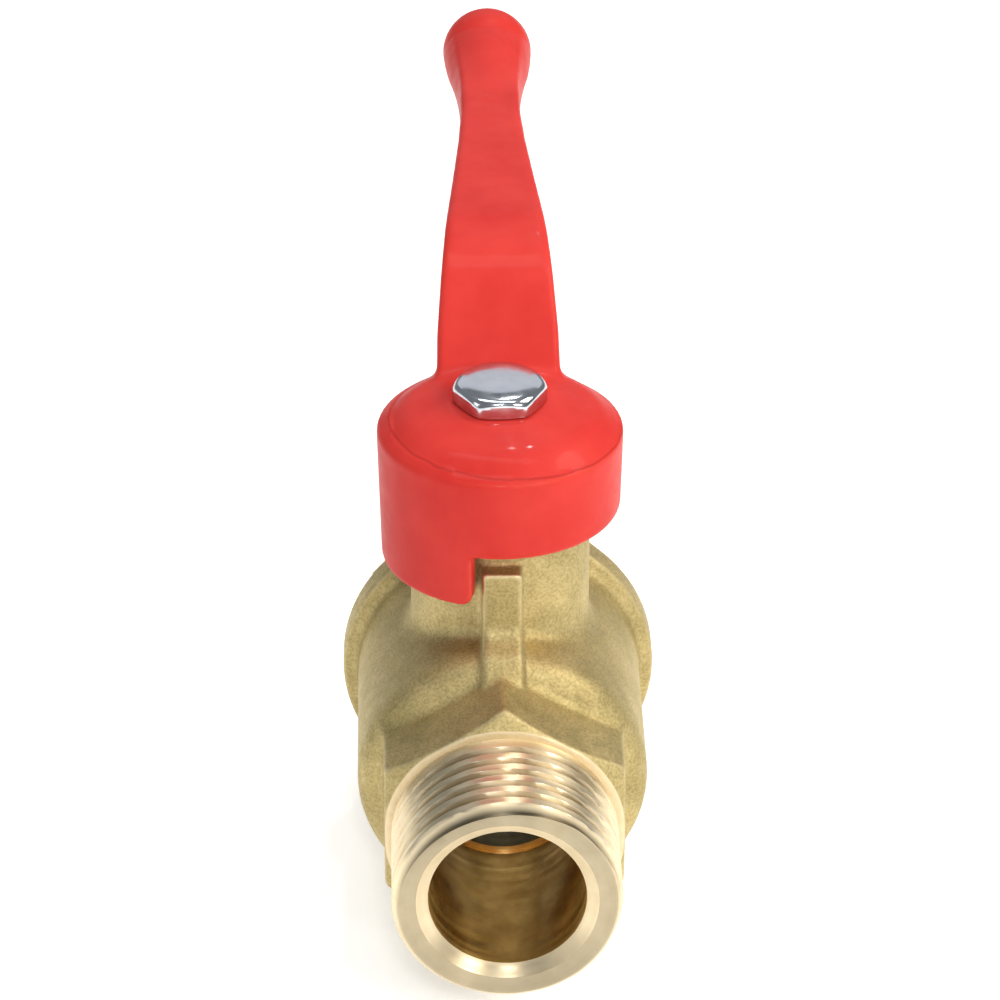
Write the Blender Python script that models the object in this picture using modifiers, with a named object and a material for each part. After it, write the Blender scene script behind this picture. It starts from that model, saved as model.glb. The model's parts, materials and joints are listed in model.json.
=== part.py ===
"""Brass ball valve, male by female, with a cast lever.

Frame: metres, +Z up along the stem, +Y along the pipe axis from the male end to the female end.
The origin is the centre of the male end's face. The valve is drawn open, with the lever along +Y.
Turned shapes are given as (radius, height) profiles; on the pipe axis the height is the distance
from the male face, and on the stem axis it is the height above the pipe axis.
"""

import math

import bmesh
import bpy

MM = 0.001

# Driving dimensions
STEM_Y = 32.0 * MM             # stem axis, from the male face
FEMALE_FACE_Y = 50.5 * MM      # end of the valve
BORE_R = 7.2 * MM              # waterway in the body
THREAD_R = 10.4775 * MM        # G 1/2: 20.955 mm over the crests
THREAD_ROOT_R = 9.3155 * MM    # G 1/2: 18.631 mm at the root
THREAD_PITCH = 1.814 * MM      # 14 threads per inch
LIP_R = 6.7 * MM               # lip in front of the inlet seat
LIP_Y = 18.4 * MM
BALL_R = 10.8 * MM
BALL_BORE_R = 6.8 * MM
BODY_R = 13.6 * MM
COLLAR_R = 15.04 * MM
NECK_R = 8.4 * MM
STEM_R = 3.9 * MM
GAP = 0.3 * MM                 # working gap between neighbouring pieces

# Stations along the pipe axis
HEX_FRONT_Y = 11.0 * MM
HEX_REAR_Y = 18.3 * MM
HEX_FLATS = 22.2 * MM
HEX_CORNER_R = 12.75 * MM
HEX_FACE_R = 11.0 * MM         # flat ring in front of the hexagon's chamfer
HEX_CHAMFER = 1.2 * MM
SHOULDER_R = 2.6 * MM          # rounding between the hexagon and the chamber
COLLAR_FRONT_Y = 40.3 * MM
COLLAR_REAR_Y = 43.5 * MM
SEAL_FLOOR_Y = 42.1 * MM
SEAL_POCKET_R = 13.3 * MM
SEAL_RING_R = 12.6 * MM        # O-ring between body and end adapter
SEAL_RING_Y = 42.9 * MM
SEAT_BACK = 10.3 * MM          # back of each seat ring, from the ball's centre
SEAT_R = 9.6 * MM
SEAT_FRONT = 5.6 * MM          # the seat's outer edge, from the ball's centre
SEAT_LIP = 8.9 * MM            # the seat's inner edge, from the ball's centre
CHAMBER_FRONT = 6.0 * MM       # half length of the chamber on the male side
POCKET_R = SEAT_R + GAP
CHAMBER_R = BALL_R + 0.5 * MM
MOUTH_R = 12.2 * MM            # threaded mouth that takes the end adapter
MOUTH_Y = 37.9 * MM
ADAPTER_NOSE_Y = 38.3 * MM
FLANGE_FLATS = 24.4 * MM
FLANGE_R = 13.2 * MM
SOCKET_FLOOR_Y = 43.3 * MM

# Heights along the stem axis
TANG_BOTTOM = 8.0 * MM
TANG_WIDTH = 3.8 * MM
TANG_HALF_LENGTH = 4.5 * MM
SLOT_WIDTH = 4.3 * MM
SLOT_FLOOR = 7.7 * MM
STEM_COLLAR_R = 5.4 * MM
STEM_COLLAR_BOTTOM = 11.3 * MM
STEM_COLLAR_TOP = 12.3 * MM
POCKET_ROOF = 13.4 * MM
THRUST_WASHER_BOTTOM = 12.55 * MM
THRUST_WASHER_HEIGHT = 0.6 * MM
O_RING_Z = 15.2 * MM
O_RING_R = 3.55 * MM
PACKING_FLOOR = 17.0 * MM
PACKING_BORE_R = 5.95 * MM
PACKING_HEIGHT = 1.5 * MM
FOLLOWER_HEIGHT = 1.25 * MM
STACK_GAP = 0.25 * MM          # between the rings stacked round the stem
GLAND_BORE_R = 6.6 * MM
GLAND_FLOOR = 21.2 * MM
NECK_TOP = 24.3 * MM
NUT_BOTTOM = 24.6 * MM
NUT_TOP = 27.0 * MM
NUT_FLATS = 14.0 * MM
NUT_SPIGOT_BOTTOM = 22.3 * MM
NECK_ROOT = 9.0 * MM
RIB_TOP = 21.3 * MM
RIB_WIDTH = 3.7 * MM
RIB_REACH = 10.2 * MM          # front of the stop rib, from the stem axis
RIB_BACK = 7.0 * MM
RIB_ROOT = 11.5 * MM

# Lever
CUP_R = 11.45 * MM
CUP_INNER_R = 9.1 * MM
CUP_TOP = 34.2 * MM
CUP_SEAT_R = 5.0 * MM          # flat under the screw head
CUP_CROWN_R = 9.3 * MM         # edge between the gently sloping crown and the steeper shoulder
CUP_CROWN_Z = 33.1 * MM
CUP_SHOULDER_R = 11.25 * MM
CUP_SHOULDER_Z = 31.5 * MM
CUP_WIDEST_Z = 31.2 * MM
CUP_SKIRT_R = 11.1 * MM
CUP_BOTTOM = 18.2 * MM
CUP_CEILING = 30.2 * MM
HUB_R = 6.2 * MM
HUB_BOTTOM = 27.5 * MM
WINDOW_TOP = 23.5 * MM
WINDOW_START = -15.0           # degrees from the male side, towards +X
WINDOW_END = 101.0
NOTCH_END = 108.0              # the low step beyond the window
NOTCH_TOP = RIB_TOP + GAP      # so that the step clears the rib when the valve is shut
STEM_FLATS = 6.4 * MM
HUB_FLATS = 6.9 * MM
STEM_TOP = 30.8 * MM
ARM_TOP = 43.5 * MM
ARM_BOTTOM = 38.9 * MM
ARM_BEND = 15.4 * MM           # from the stem axis
KNOB_R = 4.5 * MM
KNOB_REACH = 61.0 * MM
KNOB_Z = 41.2 * MM
KNOB_FLARE = [(60.2, 4.42), (56.5, 4.15), (52.0, 3.4), (48.5, 2.8)]  # (reach, radius) in millimetres
ARM_PLAN = [(4.0, 5.85), (9.0, 5.7), (15.4, 5.05), (28.5, 3.95), (36.8, 3.3), (43.0, 2.95),
            (62.0, 2.95)]      # (reach, half width) in millimetres

# M5 hexagon screw
SCREW_FLATS = 7.6 * MM
SCREW_CORNER_R = 4.35 * MM
SCREW_SHANK_R = 2.2 * MM
SCREW_HOLE_R = 2.5 * MM
SCREW_HEAD_BOTTOM = CUP_TOP + GAP
SCREW_HEAD_TOP = 35.9 * MM
SCREW_TIP = 23.6 * MM
STEM_HOLE_TOP = 31.0 * MM

SEGMENTS = 40
FINE_SEGMENTS = 32
MERGE = 0.00001
OVERRUN = 2.0 * MM             # how far cutters pass the face they open
CUTTER_R = 16.0 * MM           # outside of the ring-shaped cutters
EDGE = 0.4 * MM                # small bevels

BRASS = ("forged_brass", (0.60, 0.50, 0.27), 0.38, 1.0)
TURNED_BRASS = ("turned_brass", (0.78, 0.62, 0.36), 0.25, 1.0)
CHROME = ("chrome_plate", (0.72, 0.73, 0.76), 0.08, 1.0)
PTFE = ("ptfe", (0.90, 0.90, 0.87), 0.45, 0.0)
RUBBER = ("o_ring_rubber", (0.03, 0.03, 0.03), 0.5, 0.0)
RED_PAINT = ("red_lever_paint", (0.75, 0.06, 0.04), 0.32, 0.0)


def clear_scene():
    """Remove every object that the file starts with."""
    for thing in list(bpy.data.objects):
        bpy.data.objects.remove(thing, do_unlink=True)


def new_collection(name):
    """Make a collection and hang it under the scene."""
    collection = bpy.data.collections.new(name)
    bpy.context.scene.collection.children.link(collection)
    return collection


def finish_material(recipe):
    """Return the Principled material of one recipe, making it the first time."""
    name, colour, roughness, metallic = recipe
    material = bpy.data.materials.get(name)
    if material:
        return material
    material = bpy.data.materials.new(name)
    material.use_nodes = True
    shader = material.node_tree.nodes["Principled BSDF"]
    shader.inputs["Base Color"].default_value = (*colour, 1.0)
    shader.inputs["Roughness"].default_value = roughness
    shader.inputs["Metallic"].default_value = metallic
    material.diffuse_color = (*colour, 1.0)
    return material


def place(thing, collection, recipe=None):
    """Move an object into its collection; without a recipe it is a cutter or a guide."""
    for holder in list(thing.users_collection):
        holder.objects.unlink(thing)
    collection.objects.link(thing)
    if recipe is None:
        thing.hide_render = True
        thing.display_type = "WIRE"
        return thing
    thing.data.materials.clear()
    thing.data.materials.append(finish_material(recipe))
    return thing


def turned(name, profile, collection, recipe=None, closed=False, on_pipe=False, steps=SEGMENTS):
    """Turn a profile of (radius, height) points; it runs down the outer side."""
    mesh = bpy.data.meshes.new(name)
    edges = [(i, i + 1) for i in range(len(profile) - 1)]
    if closed:
        edges.append((len(profile) - 1, 0))
    mesh.from_pydata([(radius, 0.0, height) for radius, height in profile], edges, [])
    thing = bpy.data.objects.new(name, mesh)
    collection.objects.link(thing)
    screw = thing.modifiers.new("turn", "SCREW")
    screw.axis = "Z"
    screw.angle = math.tau
    screw.steps = steps
    screw.render_steps = steps
    screw.use_merge_vertices = True
    screw.merge_threshold = MERGE
    screw.use_smooth_shade = False
    if on_pipe:
        thing.rotation_euler.x = -math.pi / 2
    else:
        thing.location.y = STEM_Y
    return place(thing, collection, recipe)


def arc(centre, radius, start, end, count):
    """Points along an arc in the (radius, height) plane, angles in degrees."""
    points = []
    for i in range(count + 1):
        angle = math.radians(start + (end - start) * i / count)
        points.append((centre[0] + radius * math.cos(angle), centre[1] + radius * math.sin(angle)))
    return points


def polygon(sides, flats, turn=0.0):
    """Corners of a regular polygon from its width across flats; turn in degrees."""
    corner_r = flats / 2 / math.cos(math.pi / sides)
    corners = []
    for i in range(sides):
        angle = math.radians(turn) + math.tau * i / sides
        corners.append((corner_r * math.cos(angle), corner_r * math.sin(angle)))
    return corners


def sector(inner, outer, start, end, count=12):
    """Outline of a ring sector around the stem; angles in degrees from -Y towards +X."""
    rim = [math.radians(start + (end - start) * i / count - 90.0) for i in range(count + 1)]
    points = [(outer * math.cos(a), outer * math.sin(a)) for a in rim]
    points += [(inner * math.cos(a), inner * math.sin(a)) for a in reversed(rim)]
    return points


def outline_solid(name, outlines, low, high, collection, recipe=None):
    """Fill flat outlines and give them thickness from low to high along local Z."""
    curve = bpy.data.curves.new(name, "CURVE")
    curve.dimensions = "2D"
    curve.fill_mode = "BOTH"
    curve.extrude = (high - low) / 2
    for points in outlines:
        spline = curve.splines.new("POLY")
        spline.points.add(len(points) - 1)
        for point, (x, y) in zip(spline.points, points):
            point.co = (x, y, 0.0, 1.0)
        spline.use_cyclic_u = True
    guide = bpy.data.objects.new(name + "_outline", curve)
    bpy.context.scene.collection.objects.link(guide)
    bpy.context.view_layer.update()
    evaluated = guide.evaluated_get(bpy.context.evaluated_depsgraph_get())
    mesh = bpy.data.meshes.new_from_object(evaluated)
    bpy.data.objects.remove(guide, do_unlink=True)
    work = bmesh.new()
    work.from_mesh(mesh)
    bmesh.ops.translate(work, verts=work.verts, vec=(0.0, 0.0, (low + high) / 2))
    bmesh.ops.remove_doubles(work, verts=work.verts, dist=MERGE)
    bmesh.ops.recalc_face_normals(work, faces=work.faces)
    work.to_mesh(mesh)
    work.free()
    mesh.name = name
    thing = bpy.data.objects.new(name, mesh)
    collection.objects.link(thing)
    return place(thing, collection, recipe)


def side_outline_solid(name, outline, half_width, collection, recipe=None):
    """A side view of (reach from the stem along Y, height), thickened across X."""
    thing = outline_solid(name, [outline], -half_width, half_width, collection, recipe)
    thing.rotation_euler = (math.pi / 2, 0.0, math.pi / 2)
    thing.location.y = STEM_Y
    return thing


def combine(thing, other, operation):
    """Add an exact Boolean modifier."""
    boolean = thing.modifiers.new(other.name, "BOOLEAN")
    boolean.operation = operation
    boolean.solver = "EXACT"
    boolean.object = other
    return thing


def cut(thing, *cutters):
    """Subtract each cutter."""
    for cutter in cutters:
        combine(thing, cutter, "DIFFERENCE")
    return thing


def join(thing, *additions):
    """Unite with each addition."""
    for addition in additions:
        combine(thing, addition, "UNION")
    return thing


def trim_to_polygon(thing, sides, flats, low, high, cutters, turn=0.0, on_pipe=False):
    """Cut flats on a turned piece between two heights, with one ring-shaped cutter."""
    rim = polygon(FINE_SEGMENTS, 2 * CUTTER_R)
    ring = outline_solid(thing.name + "_flats", [rim, polygon(sides, flats, turn)], low, high, cutters)
    if on_pipe:
        ring.rotation_euler.x = -math.pi / 2
    else:
        ring.location.y = STEM_Y
    return cut(thing, ring)


def male_thread_profile():
    """Crests and roots of the male thread, from the hexagon back to the end face."""
    crest_half = 0.16 * MM
    groove_half = THREAD_PITCH / 2 - crest_half
    first_root = 1.95 * MM
    turns = 5
    points = [(THREAD_R, HEX_FRONT_Y)]
    for i in reversed(range(turns)):
        root = first_root + i * THREAD_PITCH
        points.append((THREAD_R, root + groove_half))
        points.append((THREAD_ROOT_R, root))
        points.append((THREAD_R, root - groove_half))
    lead = 0.5 * MM
    points.append((THREAD_R, lead))
    points.append((THREAD_R - lead, 0.0))
    return points


def valve_body(parts, cutters):
    """Forged body: male end, hexagon, ball chamber, collar, neck and stop rib."""
    profile = [(0.0, COLLAR_REAR_Y), (COLLAR_R - EDGE, COLLAR_REAR_Y)]
    profile += [(COLLAR_R, COLLAR_REAR_Y - EDGE), (COLLAR_R, COLLAR_FRONT_Y + EDGE)]
    profile += [(COLLAR_R - EDGE, COLLAR_FRONT_Y), (BODY_R, COLLAR_FRONT_Y)]
    profile += arc((BODY_R - SHOULDER_R, HEX_REAR_Y + SHOULDER_R), SHOULDER_R, 0, -50, 4)
    profile += [(HEX_CORNER_R, HEX_REAR_Y), (HEX_CORNER_R, HEX_FRONT_Y + HEX_CHAMFER)]
    profile += [(HEX_FACE_R, HEX_FRONT_Y)]
    profile += male_thread_profile()
    profile += [(0.0, 0.0)]
    body = turned("valve_body", profile, parts, BRASS, on_pipe=True)

    neck = turned("neck", [(0.0, NECK_TOP), (NECK_R - EDGE, NECK_TOP), (NECK_R, NECK_TOP - EDGE),
                           (NECK_R, NECK_ROOT), (0.0, NECK_ROOT)], cutters)
    foot = HEX_REAR_Y - STEM_Y
    foot_top = 12.9 * MM
    slope_top = 14.0 * MM
    slope_run = 1.1 * MM
    face_bottom = 15.0 * MM
    rib = side_outline_solid("rib", [
        (-RIB_BACK, RIB_TOP), (-RIB_BACK, RIB_ROOT), (foot, RIB_ROOT), (foot, foot_top),
        (foot + slope_run, slope_top), (-RIB_REACH, face_bottom), (-RIB_REACH, RIB_TOP - EDGE),
        (-RIB_REACH + EDGE, RIB_TOP)], RIB_WIDTH / 2, cutters)
    join(body, neck, rib)
    trim_to_polygon(body, 6, HEX_FLATS, HEX_FRONT_Y - MERGE, HEX_REAR_Y, cutters,
                    turn=90, on_pipe=True)

    waterway = [(0.0, COLLAR_REAR_Y + OVERRUN), (SEAL_POCKET_R, COLLAR_REAR_Y + OVERRUN)]
    waterway += [(SEAL_POCKET_R, SEAL_FLOOR_Y), (MOUTH_R, SEAL_FLOOR_Y), (MOUTH_R, MOUTH_Y)]
    chamber_front = STEM_Y - CHAMBER_FRONT
    pocket_floor = STEM_Y - SEAT_BACK - GAP
    waterway += [(CHAMBER_R, MOUTH_Y), (CHAMBER_R, chamber_front), (POCKET_R, chamber_front)]
    waterway += [(POCKET_R, pocket_floor), (LIP_R, pocket_floor), (LIP_R, LIP_Y + BORE_R - LIP_R)]
    bore_chamfer = 0.8 * MM
    mouth_r = 8.3 * MM
    waterway += [(BORE_R, LIP_Y), (BORE_R, bore_chamfer)]
    waterway += [(mouth_r, 0.0), (mouth_r, -OVERRUN), (0.0, -OVERRUN)]
    chamber = turned("waterway", waterway, cutters, on_pipe=True)

    stem_hole_r = STEM_R + 0.2 * MM
    stem_bore = [(0.0, NECK_TOP + OVERRUN), (GLAND_BORE_R, NECK_TOP + OVERRUN)]
    stem_bore += [(GLAND_BORE_R, GLAND_FLOOR), (PACKING_BORE_R, GLAND_FLOOR)]
    stem_bore += [(PACKING_BORE_R, PACKING_FLOOR), (stem_hole_r, PACKING_FLOOR)]
    stem_bore += [(stem_hole_r, POCKET_ROOF), (STEM_COLLAR_R + GAP, POCKET_ROOF)]
    stem_bore += [(STEM_COLLAR_R + GAP, 0.0), (0.0, 0.0)]
    bore = turned("stem_bore", stem_bore, cutters)
    return cut(body, chamber, bore)


def end_adapter(parts, cutters):
    """Screwed end: threaded spigot, octagon flange and the female socket."""
    spigot_r = MOUTH_R - GAP
    flange_front = COLLAR_REAR_Y + GAP
    bevel = 0.7 * MM
    face_r = FLANGE_R - 1.3 * MM
    front_r = FLANGE_R - 1.0 * MM
    adapter = turned("end_adapter", [
        (0.0, FEMALE_FACE_Y), (face_r, FEMALE_FACE_Y), (FLANGE_R, FEMALE_FACE_Y - bevel),
        (FLANGE_R, flange_front + bevel), (front_r, flange_front), (spigot_r, flange_front),
        (spigot_r, ADAPTER_NOSE_Y), (0.0, ADAPTER_NOSE_Y)], parts, BRASS, on_pipe=True)
    trim_to_polygon(adapter, 8, FLANGE_FLATS, flange_front, FEMALE_FACE_Y + GAP, cutters,
                    turn=22.5, on_pipe=True)
    lead_r = THREAD_R + 0.3 * MM
    lead_depth = 1.4 * MM
    bore_r = BALL_BORE_R + 0.1 * MM
    seat_back = STEM_Y + SEAT_BACK + GAP
    past_nose = ADAPTER_NOSE_Y - OVERRUN
    socket = turned("socket", [
        (0.0, FEMALE_FACE_Y + OVERRUN), (lead_r, FEMALE_FACE_Y + OVERRUN), (lead_r, FEMALE_FACE_Y),
        (THREAD_ROOT_R, FEMALE_FACE_Y - lead_depth), (THREAD_ROOT_R, SOCKET_FLOOR_Y),
        (bore_r, SOCKET_FLOOR_Y), (bore_r, seat_back), (POCKET_R, seat_back),
        (POCKET_R, past_nose), (0.0, past_nose)], cutters, on_pipe=True)
    return cut(adapter, socket)


def seat_ring(name, side, parts):
    """PTFE seat ring; side is -1 at the male end and +1 at the female end."""
    inner = BALL_BORE_R + 0.1 * MM
    section = [(SEAT_R, SEAT_BACK), (SEAT_R, SEAT_FRONT), (inner, SEAT_LIP), (inner, SEAT_BACK)]
    points = [(radius, STEM_Y + side * offset) for radius, offset in section]
    if side < 0:
        points.reverse()
    return turned(name, points, parts, PTFE, closed=True, on_pipe=True)


def ball(parts, cutters):
    """Ball with its through bore along the pipe and the tang slot across it."""
    bpy.ops.mesh.primitive_uv_sphere_add(segments=SEGMENTS, ring_count=20, radius=BALL_R,
                                         location=(0.0, STEM_Y, 0.0))
    sphere = bpy.context.object
    sphere.name = "ball"
    place(sphere, parts, CHROME)
    bpy.ops.mesh.primitive_cylinder_add(vertices=SEGMENTS, radius=BALL_BORE_R, depth=3 * BALL_R,
                                        location=(0.0, STEM_Y, 0.0), rotation=(math.pi / 2, 0.0, 0.0))
    bore = bpy.context.object
    bore.name = "ball_bore"
    place(bore, cutters)
    slot_height = BALL_R
    bpy.ops.mesh.primitive_cube_add(size=1.0, location=(0.0, STEM_Y, SLOT_FLOOR + slot_height / 2))
    slot = bpy.context.object
    slot.name = "tang_slot"
    slot.scale = (3 * BALL_R, SLOT_WIDTH, slot_height)
    place(slot, cutters)
    return cut(sphere, bore, slot)


def stem(parts, cutters):
    """Blow-out proof stem: tang, collar, O-ring groove, flats for the lever and a tapped hole."""
    groove_half = 0.6 * MM
    groove_r = STEM_R - 0.9 * MM
    profile = [
        (0.0, STEM_TOP), (STEM_R - GAP, STEM_TOP), (STEM_R, STEM_TOP - GAP),
        (STEM_R, O_RING_Z + groove_half), (groove_r, O_RING_Z + groove_half),
        (groove_r, O_RING_Z - groove_half), (STEM_R, O_RING_Z - groove_half),
        (STEM_R, STEM_COLLAR_TOP), (STEM_COLLAR_R, STEM_COLLAR_TOP),
        (STEM_COLLAR_R, STEM_COLLAR_BOTTOM), (0.0, STEM_COLLAR_BOTTOM)]
    piece = turned("stem", profile, parts, TURNED_BRASS, steps=FINE_SEGMENTS)
    overlap = 0.2 * MM
    tang_top = STEM_COLLAR_BOTTOM + overlap
    half_length = TANG_HALF_LENGTH
    half_width = TANG_WIDTH / 2
    tang = outline_solid("tang", [[(-half_length, -half_width), (half_length, -half_width),
                                   (half_length, half_width), (-half_length, half_width)]],
                         TANG_BOTTOM, tang_top, cutters)
    tang.location.y = STEM_Y
    join(piece, tang)
    flats_bottom = NUT_TOP + 0.2 * MM
    far = STEM_R + OVERRUN
    for side in (-1, 1):
        near = STEM_FLATS / 2
        edge = sorted((side * near, side * far))
        flat = outline_solid("stem_flat", [[(edge[0], -far), (edge[1], -far), (edge[1], far),
                                            (edge[0], far)]], flats_bottom, STEM_TOP + far, cutters)
        flat.location.y = STEM_Y
        cut(piece, flat)
    hole_bottom = SCREW_TIP - 1.0 * MM
    drill_point = hole_bottom - 1.2 * MM
    hole = turned("tapped_hole", [(0.0, STEM_TOP + far), (SCREW_HOLE_R, STEM_TOP + far),
                                  (SCREW_HOLE_R, hole_bottom), (0.0, drill_point)],
                  cutters, steps=FINE_SEGMENTS)
    return cut(piece, hole)


def ring(name, inner, outer, bottom, top, recipe, parts):
    """Plain flat ring around the stem axis."""
    return turned(name, [(outer, top), (outer, bottom), (inner, bottom), (inner, top)],
                  parts, recipe, closed=True, steps=FINE_SEGMENTS)


def round_ring(name, major, minor, height, recipe, parts, on_pipe=False):
    """Ring of round section."""
    section = arc((major, height), minor, 90, -270, 8)[:-1]
    return turned(name, section, parts, recipe, closed=True, on_pipe=on_pipe, steps=FINE_SEGMENTS)


def packing_stack(parts):
    """Two packing rings and the follower that presses on them."""
    inner = STEM_R + STACK_GAP
    outer = PACKING_BORE_R - STACK_GAP
    bottom = PACKING_FLOOR + STACK_GAP
    for name, height, recipe in (("packing_ring_lower", PACKING_HEIGHT, PTFE),
                                 ("packing_ring_upper", PACKING_HEIGHT, PTFE),
                                 ("gland_follower", FOLLOWER_HEIGHT, TURNED_BRASS)):
        ring(name, inner, outer, bottom, bottom + height, recipe, parts)
        bottom += height + STACK_GAP


def gland_nut(parts, cutters):
    """Packing nut: threaded spigot under a hexagon head."""
    corner_r = NUT_FLATS / 2 / math.cos(math.pi / 6)
    bevel = 0.5 * MM
    spigot_r = GLAND_BORE_R - GAP
    hole_r = STEM_R + STACK_GAP
    nut = turned("gland_nut", [
        (corner_r - 2 * bevel, NUT_TOP), (corner_r, NUT_TOP - bevel), (corner_r, NUT_BOTTOM),
        (spigot_r, NUT_BOTTOM), (spigot_r, NUT_SPIGOT_BOTTOM), (hole_r, NUT_SPIGOT_BOTTOM),
        (hole_r, NUT_TOP)], parts, TURNED_BRASS, closed=True, steps=FINE_SEGMENTS)
    return trim_to_polygon(nut, 6, NUT_FLATS, NUT_BOTTOM - MERGE, NUT_TOP + GAP, cutters)


def lever_cup(parts):
    """Cup that skirts the neck, with the hub that sits on the stem."""
    return turned("lever", [
        (0.0, CUP_TOP), (CUP_SEAT_R, CUP_TOP), (CUP_CROWN_R, CUP_CROWN_Z),
        (CUP_SHOULDER_R, CUP_SHOULDER_Z), (CUP_R, CUP_WIDEST_Z),
        (CUP_SKIRT_R, CUP_BOTTOM), (CUP_INNER_R, CUP_BOTTOM), (CUP_INNER_R, CUP_CEILING),
        (HUB_R, CUP_CEILING), (HUB_R, HUB_BOTTOM), (0.0, HUB_BOTTOM)],
        parts, RED_PAINT)


def lever_arm(cutters):
    """Riser and arm: the side view, kept only inside the plan view."""
    root = 5.0 * MM
    root_low = 30.8 * MM
    root_top = 33.8 * MM
    under_root = 8.8 * MM
    under_bend = ARM_BEND + 1.8 * MM
    tip = KNOB_REACH - 1.0 * MM
    arm = side_outline_solid("lever_arm", [
        (root, root_low), (under_root, root_low), (under_bend, ARM_BOTTOM), (tip, ARM_BOTTOM),
        (tip, ARM_TOP), (ARM_BEND, ARM_TOP), (root, root_top)], CUP_R, cutters)
    right = [(half * MM, reach * MM) for reach, half in ARM_PLAN]
    left = [(-x, y) for x, y in reversed(right)]
    plan = outline_solid("arm_plan", [right + left], CUP_BOTTOM, ARM_TOP + OVERRUN, cutters)
    plan.location.y = STEM_Y
    return combine(arm, plan, "INTERSECT")


def lever(parts, cutters):
    """Cast lever: cup with a stop window, riser, arm and ball end in one piece."""
    piece = lever_cup(parts)
    bpy.ops.mesh.primitive_uv_sphere_add(segments=24, ring_count=12, radius=KNOB_R,
                                         location=(0.0, STEM_Y + KNOB_REACH, KNOB_Z))
    knob = bpy.context.object
    knob.name = "knob"
    place(knob, cutters)
    flare = [(radius * MM, STEM_Y + reach * MM) for reach, radius in KNOB_FLARE]
    neck = turned("knob_neck", [(0.0, flare[0][1])] + flare + [(0.0, flare[-1][1])], cutters,
                  on_pipe=True, steps=24)
    neck.location.z = KNOB_Z
    join(piece, lever_arm(cutters), neck, knob)
    below = CUP_BOTTOM - OVERRUN
    inside = CUP_INNER_R - GAP
    outside = CUP_R + OVERRUN
    for name, end, top in (("stop_window", WINDOW_END, WINDOW_TOP), ("window_notch", NOTCH_END, NOTCH_TOP)):
        window = outline_solid(name, [sector(inside, outside, WINDOW_START, end)], below, top, cutters)
        window.location.y = STEM_Y
        cut(piece, window)
    drill_top = CUP_TOP + OVERRUN
    drill_bottom = STEM_HOLE_TOP - OVERRUN
    screw_hole = turned("screw_hole", [(0.0, drill_top), (SCREW_HOLE_R, drill_top),
                                       (SCREW_HOLE_R, drill_bottom), (0.0, drill_bottom)],
                        cutters, steps=FINE_SEGMENTS)
    flat = HUB_FLATS / 2
    hole_r = STEM_R + STACK_GAP
    swing = math.degrees(math.acos(flat / hole_r))
    hole_outline = arc((0.0, 0.0), hole_r, swing, 180 - swing, 10)
    hole_outline += arc((0.0, 0.0), hole_r, 180 + swing, 360 - swing, 10)
    hole = outline_solid("stem_hole", [hole_outline], HUB_BOTTOM - OVERRUN, STEM_HOLE_TOP, cutters)
    hole.location.y = STEM_Y
    return cut(piece, screw_hole, hole)


def lever_screw(parts, cutters):
    """Hexagon-head screw that holds the lever on the stem."""
    bevel = 0.35 * MM
    screw = turned("lever_screw", [
        (0.0, SCREW_HEAD_TOP), (SCREW_CORNER_R - bevel, SCREW_HEAD_TOP),
        (SCREW_CORNER_R, SCREW_HEAD_TOP - bevel), (SCREW_CORNER_R, SCREW_HEAD_BOTTOM),
        (SCREW_SHANK_R, SCREW_HEAD_BOTTOM), (SCREW_SHANK_R, SCREW_TIP + bevel),
        (SCREW_SHANK_R - bevel, SCREW_TIP), (0.0, SCREW_TIP)], parts, CHROME, steps=36)
    return trim_to_polygon(screw, 6, SCREW_FLATS, SCREW_HEAD_BOTTOM - MERGE,
                           SCREW_HEAD_TOP + GAP, cutters)


def build():
    """Build every piece."""
    clear_scene()
    parts = new_collection("ball_valve")
    cutters = new_collection("cutters")
    valve_body(parts, cutters)
    end_adapter(parts, cutters)
    ring_section = 0.4 * MM
    round_ring("body_joint_seal", SEAL_RING_R, ring_section, SEAL_RING_Y, RUBBER, parts, on_pipe=True)
    seat_ring("inlet_seat", -1, parts)
    seat_ring("outlet_seat", 1, parts)
    ball(parts, cutters)
    stem(parts, cutters)
    ring("stem_thrust_washer", STEM_R + GAP, STEM_COLLAR_R, THRUST_WASHER_BOTTOM,
         THRUST_WASHER_BOTTOM + THRUST_WASHER_HEIGHT, PTFE, parts)
    round_ring("stem_o_ring", O_RING_R, ring_section, O_RING_Z, RUBBER, parts)
    packing_stack(parts)
    gland_nut(parts, cutters)
    lever(parts, cutters)
    lever_screw(parts, cutters)


build()
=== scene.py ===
"""Finished look of the brass ball valve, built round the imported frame.

Shapes are worked out in millimetres in the frame's own axes (+Y along the pipe, +Z along the stem) and
scaled to metres when a mesh is made. The forging and the lever casting are distance fields, negative
inside, so that their parts can be blended with real fillets. The threaded male end, the end adapter and
the screw are skins through rings.
"""

import json
import math

import bpy
import numpy as np
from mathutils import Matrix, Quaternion, Vector


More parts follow.
